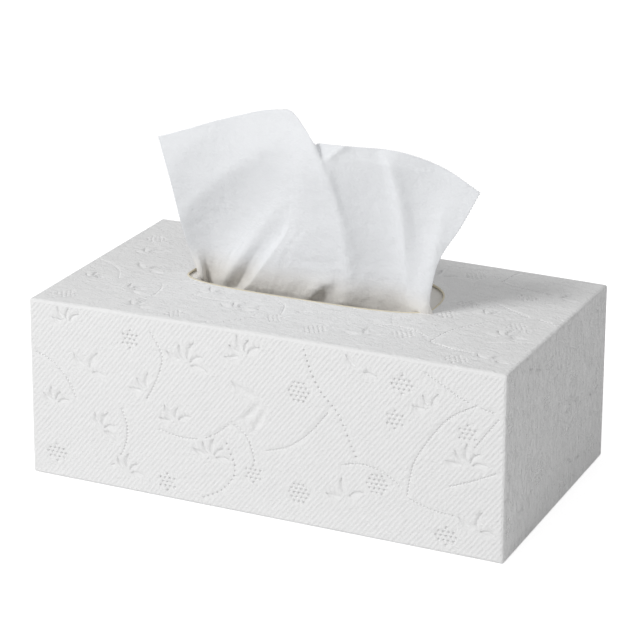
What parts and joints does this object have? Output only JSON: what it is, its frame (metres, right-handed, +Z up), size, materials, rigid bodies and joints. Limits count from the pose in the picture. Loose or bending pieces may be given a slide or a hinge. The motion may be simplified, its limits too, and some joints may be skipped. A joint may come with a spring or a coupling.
{
  "type": "tissue box",
  "caption": "White embossed board carton with a rounded slot in its top, holding a stack of folded paper tissues, one of them standing gathered in the slot.",
  "frame": {"origin": "middle of the carton's underside", "axes": "+X along the carton, +Y towards its back panel, +Z up out of the slot"},
  "size_m": [0.23, 0.127, 0.17],
  "materials": {
    "board": "matte",
    "tissue": "matte"
  },
  "bodies": {
    "root": {"carton": "board", "tissue_stack": "tissue", "raised_tissue": "tissue"}
  },
  "joints": []
}
